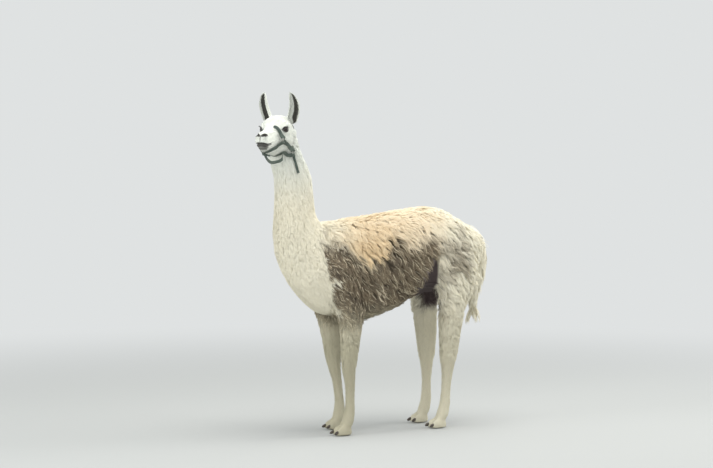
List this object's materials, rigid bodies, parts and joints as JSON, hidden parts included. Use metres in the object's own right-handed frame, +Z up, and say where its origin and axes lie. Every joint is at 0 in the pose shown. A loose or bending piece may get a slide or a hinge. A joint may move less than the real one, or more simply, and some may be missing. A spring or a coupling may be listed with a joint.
{
  "type": "llama",
  "caption": "Life-size standing llama with a shaggy cream fleece, long neck, head turned to its left and a loose webbing halter; a still animal model.",
  "frame": {"origin": "on the floor under the middle of the whole animal's box", "axes": "+Z up, the animal faces -Y, its left side is +X"},
  "size_m": [0.4854, 1.4704, 1.7747],
  "materials": {
    "fleece": "long shaggy matted fleece, cream with tan and grey-brown",
    "wool": "short dense cream wool",
    "face_wool": "very short near-white hair",
    "eye": "wet, near black",
    "nail": "dark horn",
    "webbing": "woven strap, dark grey-green",
    "ring": "dull steel"
  },
  "bodies": {
    "root": {"trunk": "fleece", "neck": "wool", "head": "face_wool", "lower_jaw": "face_wool", "tail": "fleece", "ear_left": "face_wool", "eye_left": "eye", "ear_right": "face_wool", "eye_right": "eye", "front_left_upper": "wool", "front_left_cannon": "wool", "front_left_foot": "wool", "front_left_nail_a": "nail", "front_left_nail_b": "nail", "front_right_upper": "wool", "front_right_cannon": "wool", "front_right_foot": "wool", "front_right_nail_a": "nail", "front_right_nail_b": "nail", "hind_left_upper": "wool", "hind_left_cannon": "wool", "hind_left_foot": "wool", "hind_left_nail_a": "nail", "hind_left_nail_b": "nail", "hind_right_upper": "wool", "hind_right_cannon": "wool", "hind_right_foot": "wool", "hind_right_nail_a": "nail", "hind_right_nail_b": "nail", "noseband": "webbing", "chin_strap": "webbing", "crown_strap": "webbing", "throat_strap": "webbing", "cheek_strap_left": "webbing", "cheek_strap_right": "webbing", "jaw_loop": "webbing", "strap_end": "webbing", "cheek_ring_left": "ring", "cheek_ring_right": "ring", "throat_ring_left": "ring", "throat_ring_right": "ring"}
  },
  "joints": []
}
